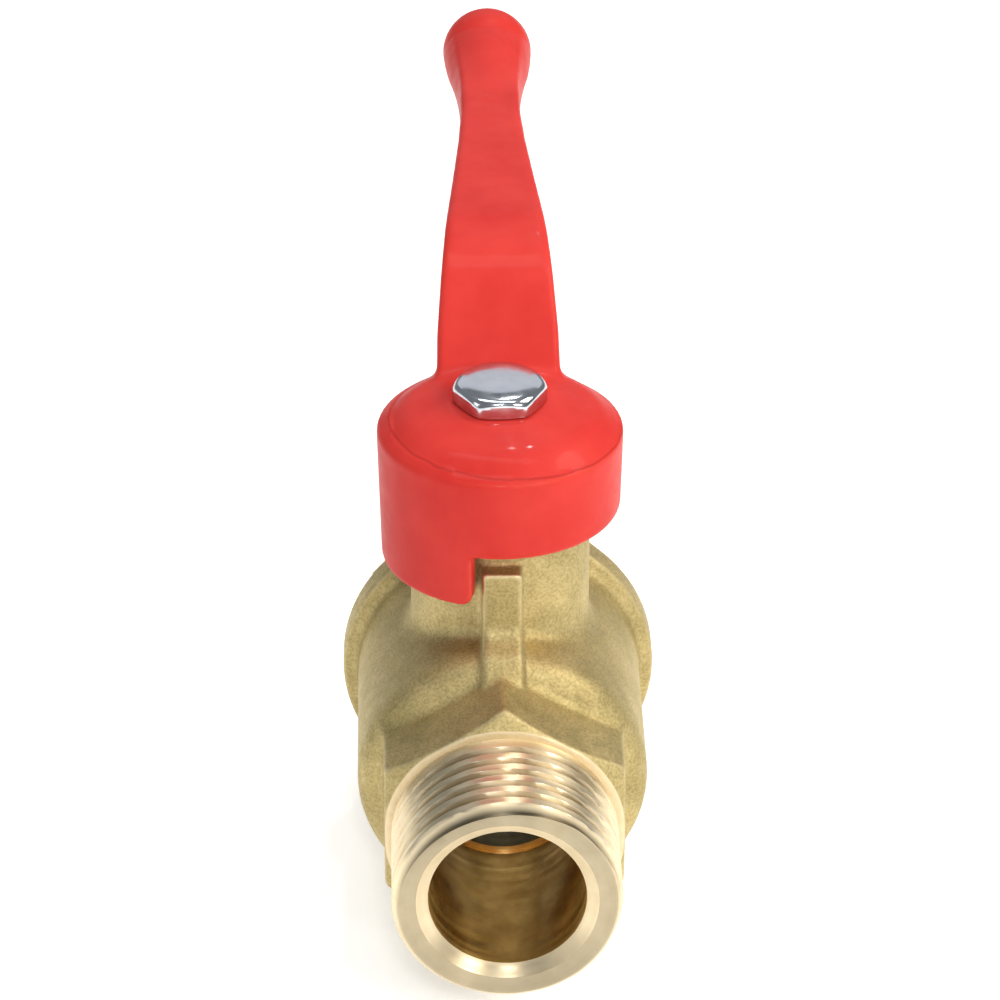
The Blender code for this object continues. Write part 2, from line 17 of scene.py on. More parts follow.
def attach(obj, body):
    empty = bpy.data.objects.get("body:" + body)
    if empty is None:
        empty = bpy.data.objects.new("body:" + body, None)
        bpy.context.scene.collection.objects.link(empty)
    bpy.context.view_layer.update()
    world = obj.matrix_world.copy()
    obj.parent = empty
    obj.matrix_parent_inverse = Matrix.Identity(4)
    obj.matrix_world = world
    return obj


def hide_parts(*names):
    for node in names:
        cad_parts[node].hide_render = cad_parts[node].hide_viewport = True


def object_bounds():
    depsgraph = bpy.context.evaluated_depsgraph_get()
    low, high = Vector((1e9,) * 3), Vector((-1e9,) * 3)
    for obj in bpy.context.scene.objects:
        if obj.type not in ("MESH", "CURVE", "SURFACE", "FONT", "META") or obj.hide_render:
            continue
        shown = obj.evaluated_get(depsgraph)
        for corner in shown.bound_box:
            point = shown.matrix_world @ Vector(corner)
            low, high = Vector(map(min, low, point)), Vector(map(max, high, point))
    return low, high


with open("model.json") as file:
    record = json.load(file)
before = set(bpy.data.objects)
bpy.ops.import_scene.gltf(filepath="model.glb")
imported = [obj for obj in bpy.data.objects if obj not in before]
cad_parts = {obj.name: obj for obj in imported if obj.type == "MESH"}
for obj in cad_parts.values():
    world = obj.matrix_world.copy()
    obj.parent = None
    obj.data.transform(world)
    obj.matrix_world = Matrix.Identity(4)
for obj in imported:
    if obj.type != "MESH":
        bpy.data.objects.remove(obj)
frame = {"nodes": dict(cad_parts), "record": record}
cad_low, cad_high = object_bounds()

MM = 0.001
STEM_Y = frame["record"]["behaviour"]["joints"][0]["pos_m"][1] / MM

# Threads, both G 1/2
CREST_R = 10.4775
ROOT_R = 9.3155
PITCH = 1.814

# Body
FACE_LEAD = 0.5
THREAD_START = 1.95            # first groove, on top of the male end
HEX_FRONT = 11.0
HEX_REAR = 18.3
HEX_FLATS = 22.2
HEX_CORNER_R = 12.75
HEX_FACE_R = 11.0
HEX_CHAMFER = 1.2
BODY_R = 13.6
COLLAR_R = 15.04
COLLAR_FRONT = 40.3
COLLAR_REAR = 43.5
NECK_R = 8.4
NECK_TOP = 24.3
RIB_HALF = 1.85
RIB_REACH = 10.2
RIB_TOP = 21.3
RIB_FOOT = ((-13.7, 12.9), (-12.6, 14.0), (-10.2, 15.0))    # top of its foot, (reach from stem, height)
RIB_FOOT_REACH = 14.4
RIB_ROOT_Z = 9.0
BORE_R = 7.2
BORE_MOUTH_R = 8.3
BORE_MOUTH_Y = 0.8
LIP_R = 6.7
LIP_Y = 18.4
LIP_RUN = 0.5                  # length of the cone from the bore in to the lip
POCKET_Y = 21.4
LINER_R = 8.6
BEYOND = 60.0                  # past every end of the forging
WATERWAY = (                   # (radius, start, end) of the pipe's passage, in lengths that overlap or meet
    (LINER_R - 0.3, 0.0, POCKET_Y),
    (9.9, POCKET_Y, 26.5),
    (11.3, 26.0, 38.5),
    (12.2, 37.9, BEYOND),
    (13.3, 42.1, BEYOND),
)
STEM_PASSAGE = (               # (radius, bottom, top) of the stem's passage, likewise
    (6.6, 21.2, 30.0),
    (5.95, 17.0, 22.0),
    (4.1, 13.0, 18.0),
    (5.7, 0.0, 13.4),
)

# End adapter
ADAPTER_FLATS = 24.4
ADAPTER_NOSE = 38.3
ADAPTER_FRONT = 43.8
ADAPTER_REAR = 50.5
SPIGOT_R = 11.9
SOCKET_BOTTOM = 43.3
ADAPTER_BORE_R = 6.9
SEAT_POCKET_Y = 42.6
SEAT_POCKET_R = 9.9

# Lever
CUP_BOTTOM = 18.2
CUP_SKIRT_R = 11.1
CUP_R = 11.45
CUP_WIDEST_Z = 31.2
CUP_SEAT = (5.0, 34.2)         # (radius, height) of the flat under the screw head
CUP_CROWN = (9.3, 33.1)        # edge between the crown and the steeper shoulder
CUP_SHOULDER = (11.25, 31.5)
SCREW_HOLE_R = 2.5
STEM_HOLE_TOP = 31.0
STEM_HOLE_R = 4.15
STEM_HOLE_HALF = 3.45          # half the distance between the hole's two flats
HUB_R = 6.2
HUB_BOTTOM = 27.5
CUP_INNER_R = 9.1
CUP_CEILING = 30.2
PARTING_Z = 31.8
PARTING_TILT = 0.044
MOULD_STEP = 0.14              # how far the upper half of the mould stands in from the lower
WINDOW_TOP = 23.5
WINDOW_START = -15.0
WINDOW_END = 101.0
WINDOW_SLANT = 15.0            # further degrees that the window's far edge runs out to at the bottom
ARM_Z = 41.2
ARM_HALF = 2.3
RISER_FOOT = (6.9, 32.2)       # (reach from the stem, height)
RISER_REACH = 16.3
BEND_RUN = 4.4                 # length of the bend on each side of its corner
KNOB_R = 4.5
KNOB_REACH = 61.0
FLARE_DEPTH = 0.9              # height of the swelling before the ball, as a share of its width
# (reach from the stem, half width) of that swelling and of the arm
KNOB_FLARE = ((46.0, 2.2), (48.5, 2.8), (52.0, 3.4), (56.5, 4.15), (59.0, 4.4), (62.0, 4.45))
ARM_PLAN = ((4.0, 5.85), (9.0, 5.7), (15.4, 5.05), (28.5, 3.95), (36.8, 3.3), (43.0, 2.97), (62.0, 2.97))

# Detail
STEPS = 144                    # round a turned piece; divides by 6, 8 and 16
FINE = 0.24    # grid of the distance fields


# ---------------------------------------------------------------- meshes

def mesh_object(name, points, faces, materials, sharp=35.0):
    """Make a piece from points in millimetres, shaded smooth up to an edge angle."""
    mesh = bpy.data.meshes.new(name)
    mesh.from_pydata((np.asarray(points, dtype=float) * MM).tolist(), [], [list(f) for f in faces])
    mesh.validate()
    for material in materials:
        mesh.materials.append(material)
    piece = bpy.data.objects.new(name, mesh)
    bpy.context.scene.collection.objects.link(piece)
    mesh.polygons.foreach_set("use_smooth", [True] * len(mesh.polygons))
    if sharp is not None:
        mesh.set_sharp_from_angle(angle=math.radians(sharp))
    mesh.update()
    return piece


def angles():
    """The angles of a ring's points, from +X towards +Z."""
    return np.arange(STEPS) * math.tau / STEPS


def ring_skin(name, rings, materials, looped, axis="Y", centre=(0.0, 0.0), turn=0.0, sharp=35.0):
    """Skin through rings of (radius, or one per angle, and station); looped closes last to first."""
    around = angles() + math.radians(turn)
    points = []
    for radius, station in rings:
        radius = np.broadcast_to(radius, (STEPS,))
        u = radius * np.cos(around)
        v = radius * np.sin(around)
        level = np.full(STEPS, station)
        if axis == "Y":
            points.append(np.stack([u + centre[0], level, v + centre[1]], axis=1))
        else:
            points.append(np.stack([u + centre[0], v + centre[1], level], axis=1))
    count = len(rings)
    faces = []
    for i in range(count if looped else count - 1):
        here = i * STEPS
        there = ((i + 1) % count) * STEPS
        for j in range(STEPS):
            k = (j + 1) % STEPS
            faces.append((here + j, there + j, there + k, here + k))
    if not looped:
        faces.append(tuple(range(STEPS)))
        last = (count - 1) * STEPS
        faces.append(tuple(last + j for j in reversed(range(STEPS))))
    piece = mesh_object(name, np.concatenate(points), faces, materials, sharp)
    face_outward(piece)
    return piece


def face_outward(piece):
    """Turn every face outward, judged by the enclosed volume."""
    mesh = piece.data
    mesh.calc_loop_triangles()
    points = np.empty(len(mesh.vertices) * 3)
    mesh.vertices.foreach_get("co", points)
    points = points.reshape(-1, 3)
    corners = np.empty(len(mesh.loop_triangles) * 3, dtype=np.int32)
    mesh.loop_triangles.foreach_get("vertices", corners)
    a, b, c = (points[corners.reshape(-1, 3)[:, i]] for i in range(3))
    if np.einsum("ij,ij->i", a, np.cross(b, c)).sum() < 0:
        mesh.flip_normals()


def surface_net(field, low, step):
    """Points and quads on the zero surface of a sampled distance field."""
    inside = field < 0
    nx, ny, nz = (n - 1 for n in field.shape)
    filled = np.zeros((nx, ny, nz), dtype=np.int8)
    for i in (0, 1):
        for j in (0, 1):
            for k in (0, 1):
                filled += inside[i:nx + i, j:ny + j, k:nz + k]
    mixed = (filled > 0) & (filled < 8)
    cells = np.argwhere(mixed)
    index = np.full(mixed.shape, -1, dtype=np.int64)
    index[mixed] = np.arange(len(cells))

    total = np.zeros((len(cells), 3))
    hits = np.zeros(len(cells))
    for axis in range(3):
        others = [n for n in range(3) if n != axis]
        for a in (0, 1):
            for b in (0, 1):
                start = cells.copy()
                start[:, others[0]] += a
                start[:, others[1]] += b
                end = start.copy()
                end[:, axis] += 1
                first = field[tuple(start.T)]
                second = field[tuple(end.T)]
                crossed = (first < 0) != (second < 0)
                share = first[crossed] / (first[crossed] - second[crossed])
                where = start[crossed].astype(float)
                where[:, axis] += share
                total[crossed] += where
                hits[crossed] += 1
    points = np.asarray(low) + step * total / hits[:, None]

    quads = []
    for axis in range(3):
        u, v = [(axis + 1) % 3, (axis + 2) % 3]
        lower = np.take(inside, range(field.shape[axis] - 1), axis)
        upper = np.take(inside, range(1, field.shape[axis]), axis)
        edges = np.argwhere(lower != upper)
        edges = edges[(edges[:, u] > 0) & (edges[:, v] > 0)]
        leaving = lower[tuple(edges.T)]
        corners = []
        for du, dv in ((-1, -1), (0, -1), (0, 0), (-1, 0)):
            cell = edges.copy()
            cell[:, u] += du
            cell[:, v] += dv
            corners.append(index[tuple(cell.T)])
        quad = np.stack(corners, axis=1)
        quad[~leaving] = quad[~leaving][:, ::-1]
        quads.append(quad)
    return points, np.concatenate(quads)


def edge_sharpness(field, points, low):
    """Curvature of the surface over about a millimetre, in 1/mm; convex edges are positive."""
    span = max(1, round(0.55 / FINE))
    place = (points - np.asarray(low)) / FINE
    limits = np.array(field.shape) - 2 - span
    corner = np.clip(np.floor(place).astype(int), span, limits)
    share = np.clip(place - corner, 0.0, 1.0)
    total = np.zeros(len(points))
    for offset in np.ndindex(2, 2, 2):
        weight = np.prod(np.where(offset, share, 1.0 - share), axis=1)
        cell = corner + offset
        around = -6.0 * field[tuple(cell.T)]
        for axis in range(3):
            for step in (-span, span):
                beside = cell.copy()
                beside[:, axis] += step
                around = around + field[tuple(beside.T)]
        total += weight * around
    return total / (span * FINE) ** 2


def field_object(name, field_of, low, high, materials):
    """Sample a distance field over a box and make its surface a smooth piece."""
    axes = [np.arange(a, b + FINE, FINE, dtype=np.float32) for a, b in zip(low, high)]
    field = field_of(*np.meshgrid(*axes, indexing="ij", sparse=True))
    points, quads = surface_net(field, low, FINE)
    piece = mesh_object(name, points, quads.tolist(), materials, sharp=None)
    sharpness = piece.data.attributes.new("sharpness", "FLOAT", "POINT")
    sharpness.data.foreach_set("value", edge_sharpness(field, points, low).astype(np.float32))
    return piece


# ---------------------------------------------------------------- distance fields

def joined(a, b, radius):
    """Union with a fillet of about that radius."""
    width = 1.17 * radius
    overlap = np.maximum(width - np.abs(a - b), 0.0)
    return np.minimum(a, b) - overlap * overlap / (4 * width)


def shared(a, b, radius):
    """Intersection with its edge rounded to about that radius."""
    return -joined(-a, -b, radius)


def slab(value, low, high):
    """Between two parallel planes."""
    return np.maximum(low - value, value - high)


def under_line(radius, height, start, end):
    """Below the cone through two (radius, height) points."""
    run, rise = end[0] - start[0], end[1] - start[1]
    return ((height - start[1]) * run - (radius - start[0]) * rise) / math.hypot(run, rise)


def hexagon(u, v, flats, corner):
    """Hexagonal prism with a corner on the v axis."""
    half = flats / 2
    field = np.abs(u) - half
    for angle in (60, 120):
        a = math.radians(angle)
        field = shared(field, np.abs(u * math.cos(a) + v * math.sin(a)) - half, corner)
    return field


def forging(x, y, z):
    """The brass forging with its inner passages."""
    r = np.hypot(x, z)
    reach = y - STEM_Y
    rs = np.hypot(x, reach)
    body = shared(r - BODY_R, slab(y, HEX_REAR, COLLAR_REAR - 1.0), 2.6)

    slope = (HEX_CORNER_R - HEX_FACE_R) / HEX_CHAMFER
    cone = (r - HEX_FACE_R - (y - HEX_FRONT) * slope) / math.hypot(1.0, slope)
    nut = shared(hexagon(x, z, HEX_FLATS, 0.25), np.maximum(cone, r - HEX_CORNER_R), 0.2)
    nut = shared(nut, slab(y, HEX_FRONT, HEX_REAR + 4.0), 0.1)
    body = joined(body, nut, 0.7)

    collar = shared(r - COLLAR_R, slab(y, COLLAR_FRONT, COLLAR_REAR), 0.5)
    body = joined(body, collar, 1.0)

    neck = shared(rs - NECK_R, slab(z, 6.0, NECK_TOP), 0.3)
    body = joined(body, neck, 1.2)

    width = np.abs(x) - RIB_HALF
    rib = np.maximum(slab(reach, -RIB_REACH, -5.0), slab(z, RIB_ROOT_Z, RIB_TOP))
    foot = np.maximum(under_line(reach, z, *RIB_FOOT[1:]), under_line(reach, z, *RIB_FOOT[:2]))
    foot = np.maximum(foot, slab(z, RIB_ROOT_Z, RIB_FOOT[2][1]))
    foot = np.maximum(foot, slab(reach, -RIB_FOOT_REACH, -8.0))
    rib = shared(joined(rib, foot, 1.0), width, 0.45)
    body = joined(body, rib, 0.55)

    passage = math.inf
    for radius, start, end in WATERWAY:
        passage = np.minimum(passage, np.maximum(r - radius, slab(y, start, end)))
    for radius, bottom, top in STEM_PASSAGE:
        passage = np.minimum(passage, np.maximum(rs - radius, slab(z, bottom, top)))
    return shared(body, -passage, 0.15)


def cup(x, reach, z):
    """Skirted cup of the lever with its hub, stop window and the holes for stem and screw."""
    rs = np.hypot(x, reach)
    parting = PARTING_Z - PARTING_TILT * x
    mismatch = np.where(z > parting, MOULD_STEP, 0.0)
    flare = (CUP_R - CUP_SKIRT_R) / (CUP_WIDEST_Z - CUP_BOTTOM)
    side = rs + mismatch - CUP_SKIRT_R - flare * (z - CUP_BOTTOM)
    crown = np.maximum(under_line(rs, z, CUP_SEAT, CUP_CROWN), z - CUP_SEAT[1])
    bevel = under_line(rs, z, CUP_CROWN, CUP_SHOULDER) + mismatch
    outer = shared(shared(crown, bevel, 0.4), side, 0.25)

    start = math.radians(WINDOW_START)
    run = np.clip((WINDOW_TOP - z) / (WINDOW_TOP - CUP_BOTTOM), 0.0, 1.0)
    end = np.radians(WINDOW_END + WINDOW_SLANT * run)
    window = shared(-(x * math.cos(start) + reach * math.sin(start)),
                    x * np.cos(end) + reach * np.sin(end), 0.3)
    window = shared(window, z - WINDOW_TOP, 0.4)
    edge = shared(CUP_BOTTOM - z, -np.maximum(window, CUP_INNER_R - 0.5 - rs), 1.1)
    outer = shared(outer, edge, 0.35)

    hollow = np.maximum(rs - CUP_INNER_R, z - CUP_CEILING)
    outer = shared(outer, -hollow, 0.4)
    hub = np.maximum(rs - HUB_R, slab(z, HUB_BOTTOM, STEM_HOLE_TOP + 0.5))
    outer = joined(outer, hub, 0.4)
    screw_hole = np.maximum(rs - SCREW_HOLE_R, STEM_HOLE_TOP - 1.0 - z)
    stem_hole = np.maximum(rs - STEM_HOLE_R, np.abs(x) - STEM_HOLE_HALF)
    stem_hole = np.maximum(stem_hole, slab(z, HUB_BOTTOM - 1.5, STEM_HOLE_TOP))
    return shared(outer, -np.minimum(screw_hole, stem_hole), 0.15)


def distance_to_path(u, v, path):
    """Distance in a plane to a chain of points."""
    nearest = None
    for (u0, v0), (u1, v1) in zip(path, path[1:]):
        du, dv = u1 - u0, v1 - v0
        along = np.clip(((u - u0) * du + (v - v0) * dv) / (du * du + dv * dv), 0.0, 1.0)
        here = np.hypot(u - u0 - along * du, v - v0 - along * dv)
        nearest = here if nearest is None else np.minimum(nearest, here)
    return nearest


def lever_spine():
    """Middle of the riser and arm in side view, with the bend between them rounded."""
    points = (RISER_FOOT, (RISER_REACH, ARM_Z), (KNOB_REACH, ARM_Z))
    foot, corner, tip = (Vector(point) for point in points)
    before = corner + (foot - corner).normalized() * BEND_RUN
    after = corner + (tip - corner).normalized() * BEND_RUN
    bend = []
    for share in np.linspace(0.0, 1.0, 17):
        bend.append(before.lerp(corner, share).lerp(corner.lerp(after, share), share))
    return [tuple(point) for point in (foot, *bend, tip)]


def casting(x, y, z):
    """The lever: cup, riser, arm and ball end."""
    reach = y - STEM_Y
    web = distance_to_path(reach, z, lever_spine()) - ARM_HALF
    width = np.abs(x) - np.interp(reach, *zip(*ARM_PLAN)).astype(np.float32)
    arm = shared(web, width, 0.7)
    arm = np.maximum(arm, reach - KNOB_REACH)
    swell = np.interp(reach, *zip(*KNOB_FLARE)).astype(np.float32)
    flare = np.hypot(x, (z - ARM_Z) / FLARE_DEPTH) - swell
    flare = np.maximum(flare, slab(reach, KNOB_FLARE[0][0] - 1.0, KNOB_REACH))
    knob = np.sqrt(x * x + (reach - KNOB_REACH) ** 2 + (z - ARM_Z) ** 2) - KNOB_R
    arm = joined(arm, np.minimum(flare, knob), 0.7)
    opening = np.maximum(np.hypot(x, reach) - CUP_SEAT[0], STEM_HOLE_TOP - z)
    arm = np.maximum(arm, -opening)
    return joined(cup(x, reach, z), arm, 0.8)


# ---------------------------------------------------------------- materials

def add(tree, kind, inputs=None, **settings):
    """Add a shader node; input values may be numbers or other nodes' sockets."""
    made = tree.nodes.new(kind)
    for key, value in settings.items():
        setattr(made, key, value)
    for key, value in (inputs or {}).items():
        if isinstance(value, bpy.types.NodeSocket):
            tree.links.new(value, made.inputs[key])
        else:
            made.inputs[key].default_value = value
    return made


def new_material(name, metallic, **fixed):
    """A Principled material with its uniform values set on the shader's own sockets."""
    material = bpy.data.materials.new(name)
    material.use_nodes = True
    shader = material.node_tree.nodes["Principled BSDF"]
    shader.inputs["Metallic"].default_value = metallic
    for key, value in fixed.items():
        shader.inputs[key.replace("_", " ").title().replace("Ior", "IOR")].default_value = value
    return material, material.node_tree, shader


def number(tree, operation, *values):
    """Result of one sum on numbers or other nodes' sockets."""
    return add(tree, "ShaderNodeMath", dict(enumerate(values)), operation=operation).outputs[0]


def mapped(tree, value, low, high, to_low=0.0, to_high=1.0):
    """Map one range of values onto another, held at its ends."""
    made = add(tree, "ShaderNodeMapRange", {"Value": value, "From Min": low, "From Max": high,
                                            "To Min": to_low, "To Max": to_high})
    return made.outputs["Result"]


def place_of(tree):
    """Position on the piece, in metres, which moves with it."""
    return add(tree, "ShaderNodeTexCoord").outputs["Object"]


def noise(tree, where, size_mm, detail=3.0, rough=0.55):
    """Noise with features of about that size."""
    return add(tree, "ShaderNodeTexNoise", {"Vector": where, "Scale": 1 / (size_mm * MM), "Detail": detail,
                                            "Roughness": rough}).outputs["Fac"]


def ramp(tree, value, stops):
    """Colours or greys along a value; stops are (position, colour)."""
    made = add(tree, "ShaderNodeValToRGB", {"Fac": value})
    elements = made.color_ramp.elements
    while len(elements) < len(stops):
        elements.new(0.5)
    for element, (position, colour) in zip(elements, stops):
        element.position = position
        element.color = (*colour, 1.0)
    return made.outputs["Color"]


def spread(tree, value, low, high):
    """Map a noise value, most of which lies between 0.3 and 0.7, onto a range."""
    return mapped(tree, value, 0.3, 0.7, low, high)


def mixed_colour(tree, share, first, second, blend="MIX"):
    """Blend a second colour over the first."""
    made = tree.nodes.new("ShaderNodeMix")
    made.data_type = "RGBA"
    made.blend_type = blend
    for index, value in ((0, share), (6, first), (7, second)):
        if isinstance(value, bpy.types.NodeSocket):
            tree.links.new(value, made.inputs[index])
        else:
            made.inputs[index].default_value = (*value, 1.0) if isinstance(value, tuple) else value
    return made.outputs[2]


def bumps(tree, shader, layers):
    """Stack bump layers of (height, strength, depth in mm)."""
    normal = None
    for height, strength, depth in layers:
        inputs = {"Height": height, "Strength": strength, "Distance": depth * MM}
        if normal is not None:
            inputs["Normal"] = normal
        normal = add(tree, "ShaderNodeBump", inputs).outputs["Normal"]
    tree.links.new(normal, shader.inputs["Normal"])


def edge_mask(tree, low, high):
    """One on worn convex edges, nought on flats and on pieces with no sharpness of their own."""
    sharp = add(tree, "ShaderNodeAttribute", attribute_name="sharpness").outputs["Fac"]
    return mapped(tree, sharp, low, high)


def machined_ends(tree, where):
    """Nought between the forging's two machined end faces, one on them and on all that lies beyond.

    The end adapter lies beyond, so its flats count as machined too.
    """
    station = add(tree, "ShaderNodeSeparateXYZ", {"Vector": where}).outputs["Y"]
    middle = (HEX_FRONT + COLLAR_REAR) / 2
    half = (COLLAR_REAR - HEX_FRONT) / 2
    away = number(tree, "ABSOLUTE", number(tree, "SUBTRACT", station, middle * MM))
    return mapped(tree, away, (half - 0.16) * MM, (half - 0.10) * MM)


def forged_brass():
    """Shot-blasted forging: olive-gold, even grain, brighter on rubbed edges and at its machined ends."""
    material, tree, shader = new_material("forged_brass", 1.0)
    where = place_of(tree)
    cloud = ramp(tree, noise(tree, where, 5.0), [(0.3, (0.50, 0.41, 0.19)), (0.7, (0.66, 0.54, 0.27))])
    grain = noise(tree, where, 0.26, 2.0)
    speck = ramp(tree, grain, [(0.34, (0.66, 0.63, 0.54)), (0.62, (1.0, 1.0, 1.0))])
    colour = mixed_colour(tree, 0.7, cloud, speck, blend="MULTIPLY")
    colour = mixed_colour(tree, edge_mask(tree, 1.1, 3.4), colour, (0.80, 0.68, 0.42))
    colour = mixed_colour(tree, machined_ends(tree, where), colour, (0.86, 0.72, 0.48))
    tree.links.new(colour, shader.inputs["Base Color"])
    tree.links.new(spread(tree, noise(tree, where, 1.2), 0.54, 0.68), shader.inputs["Roughness"])
    bumps(tree, shader, [(noise(tree, where, 2.6, 1.0), 0.20, 0.10), (grain, 0.75, 0.06)])
    return material


def turned_brass(name="turned_brass", light=(0.86, 0.73, 0.50), dark=(0.80, 0.66, 0.43), rough=0.40,
                 painted_groove_shade=1.0):
    """Machined brass with turning marks round the pipe; thread grooves can be darkened towards the root
    with painted shade.
    """
    material, tree, shader = new_material(name, 1.0)
    where = place_of(tree)
    split = add(tree, "ShaderNodeSeparateXYZ", {"Vector": where})
    squares = [number(tree, "POWER", split.outputs[axis], 2.0) for axis in ("X", "Z")]
    radius = number(tree, "POWER", number(tree, "ADD", *squares), 0.5)
    turned = add(tree, "ShaderNodeCombineXYZ", {"X": radius, "Y": split.outputs["Y"]}).outputs[0]
    shader.inputs["Anisotropic"].default_value = 0.85
    shader.inputs["Anisotropic Rotation"].default_value = 0.25
    around = add(tree, "ShaderNodeTangent", direction_type="RADIAL", axis="Y").outputs["Tangent"]
    tree.links.new(around, shader.inputs["Tangent"])
    marks = noise(tree, turned, 0.09, 2.0)
    bands = noise(tree, turned, 0.7, 2.0)
    smear = noise(tree, where, 2.5, 4.0)
    colour = ramp(tree, smear, [(0.35, dark), (0.65, light)])
    # Painted shade: the colour darkens from the crest down to the thread's root.
    if painted_groove_shade < 1.0:
        height = mapped(tree, radius, (ROOT_R + 0.2) * MM, (CREST_R - 0.25) * MM)
        root_shade_colour = tuple(channel * painted_groove_shade for channel in dark)
        colour = mixed_colour(tree, height, root_shade_colour, colour)
    tree.links.new(colour, shader.inputs["Base Color"])
    tree.links.new(spread(tree, bands, rough * 0.8, rough * 1.35), shader.inputs["Roughness"])
    bumps(tree, shader, [(marks, 0.35, 0.008), (smear, 0.04, 0.02)])
    return material


def parting_line(tree, where):
    """Mask of the thin, uneven line where the mould's halves met; it fades out behind the stem."""
    split = add(tree, "ShaderNodeSeparateXYZ", {"Vector": where})
    wander = 0.22
    tilted = number(tree, "MULTIPLY_ADD", split.outputs["X"], PARTING_TILT, split.outputs["Z"])
    uneven = number(tree, "MULTIPLY_ADD", noise(tree, where, 2.5), wander * MM, tilted)
    away = number(tree, "SUBTRACT", uneven, (PARTING_Z + wander / 2) * MM)
    line = mapped(tree, number(tree, "ABSOLUTE", away), 0.02 * MM, 0.09 * MM, 0.45, 0.0)
    shown = mapped(tree, split.outputs["Y"], STEM_Y * MM, (STEM_Y + 8.0) * MM, 1.0, 0.0)
    return number(tree, "MULTIPLY", line, shown)


def red_lacquer():
    """Thick red lacquer on a die casting: orange peel, small ripples and thin edges."""
    material, tree, shader = new_material("red_lacquer", 0.0, coat_weight=0.06, coat_roughness=0.05,
                                          specular_ior_level=0.10)
    where = place_of(tree)
    cloud = ramp(tree, noise(tree, where, 7.0), [(0.3, (0.60, 0.030, 0.024)), (0.7, (0.69, 0.046, 0.036))])
    colour = mixed_colour(tree, edge_mask(tree, 1.2, 3.6), cloud, (0.76, 0.085, 0.055))
    colour = mixed_colour(tree, parting_line(tree, where), colour, (0.30, 0.012, 0.010))
    tree.links.new(colour, shader.inputs["Base Color"])
    tree.links.new(spread(tree, noise(tree, where, 1.5), 0.40, 0.52), shader.inputs["Roughness"])
    bumps(tree, shader, [(noise(tree, where, 1.6, 1.0), 0.18, 0.05),
                         (noise(tree, where, 0.35), 0.10, 0.02)])
    return material


def plated(name, colour, rough, size_mm=0.5):
    """Plated or ground metal with faint scratches and haze."""
    material, tree, shader = new_material(name, 1.0)
    where = place_of(tree)
    haze = noise(tree, where, 1.8, 4.0)
    dull = tuple(c * 0.86 for c in colour)
    tree.links.new(ramp(tree, haze, [(0.3, dull), (0.7, colour)]), shader.inputs["Base Color"])
    tree.links.new(spread(tree, haze, rough * 0.7, rough * 1.5), shader.inputs["Roughness"])
    bumps(tree, shader, [(noise(tree, where, size_mm, 4.0), 0.12, 0.02)])
    return material


def soft_seal(name, light, dark, rough):
    """Moulded or skived seal material."""
    material, tree, shader = new_material(name, 0.0)
    where = place_of(tree)
    colour = ramp(tree, noise(tree, where, 1.5), [(0.3, dark), (0.7, light)])
    tree.links.new(colour, shader.inputs["Base Color"])
    uneven = spread(tree, noise(tree, where, 0.6), rough * 0.85, rough * 1.15)
    tree.links.new(uneven, shader.inputs["Roughness"])
    bumps(tree, shader, [(noise(tree, where, 0.2), 0.2, 0.02)])
    return material


FORGED = forged_brass()
TURNED = turned_brass()
# Painted shade: a darker, more orange copy of turned brass for the inside of the bore.
BORE_SHADED = turned_brass("bore_brass_painted_shade", (0.66, 0.43, 0.13), (0.46, 0.28, 0.07), 0.36)
# Painted shade: a darker copy of turned brass for the end face, toning down its bright reflection.
FACE_SHADED = turned_brass("end_face_brass_painted_shade", (0.51, 0.43, 0.29), (0.46, 0.38, 0.25), 0.40)
# Threaded brass with painted shade in its grooves.
THREADED = turned_brass("threaded_brass", rough=0.34, painted_groove_shade=0.22)
# Painted shade: a near-black copy of turned brass for the bore past the seat lip.
SHADED = turned_brass("painted_shade_bore_brass", (0.24, 0.22, 0.13), (0.15, 0.14, 0.08), 0.45)
# Painted highlight: a bright orange copy of turned brass for the cone in to the seat lip.
LIP_HIGHLIGHT = turned_brass("seat_lip_painted_highlight", (0.95, 0.62, 0.27), (0.88, 0.54, 0.21), 0.30)
LACQUER = red_lacquer()
CHROME = plated("screw_chrome", (0.68, 0.71, 0.75), 0.13)
BALL_CHROME = plated("ball_chrome", (0.74, 0.75, 0.77), 0.07, 0.8)
PTFE = soft_seal("ptfe", (0.88, 0.88, 0.85), (0.80, 0.80, 0.76), 0.45)
RUBBER = soft_seal("nitrile_rubber", (0.035, 0.035, 0.035), (0.02, 0.02, 0.02), 0.55)


# ---------------------------------------------------------------- pieces

def finish_piece(piece, body, node):
    """Ride with the body and replace the imported part, in one go."""
    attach(piece, body)
    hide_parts(node)
    return piece


def groove(station, first, top_angle=math.pi / 2):
    """Depth into a right-hand thread from 0 at the crest to 1 at the root, at each angle."""
    turns = (station - first) / PITCH + (angles() - top_angle) / math.tau
    wave = 0.5 + 0.5 * np.cos(math.tau * turns)
    return np.clip(wave * 2.0 - 1.0, 0.0, 1.0)


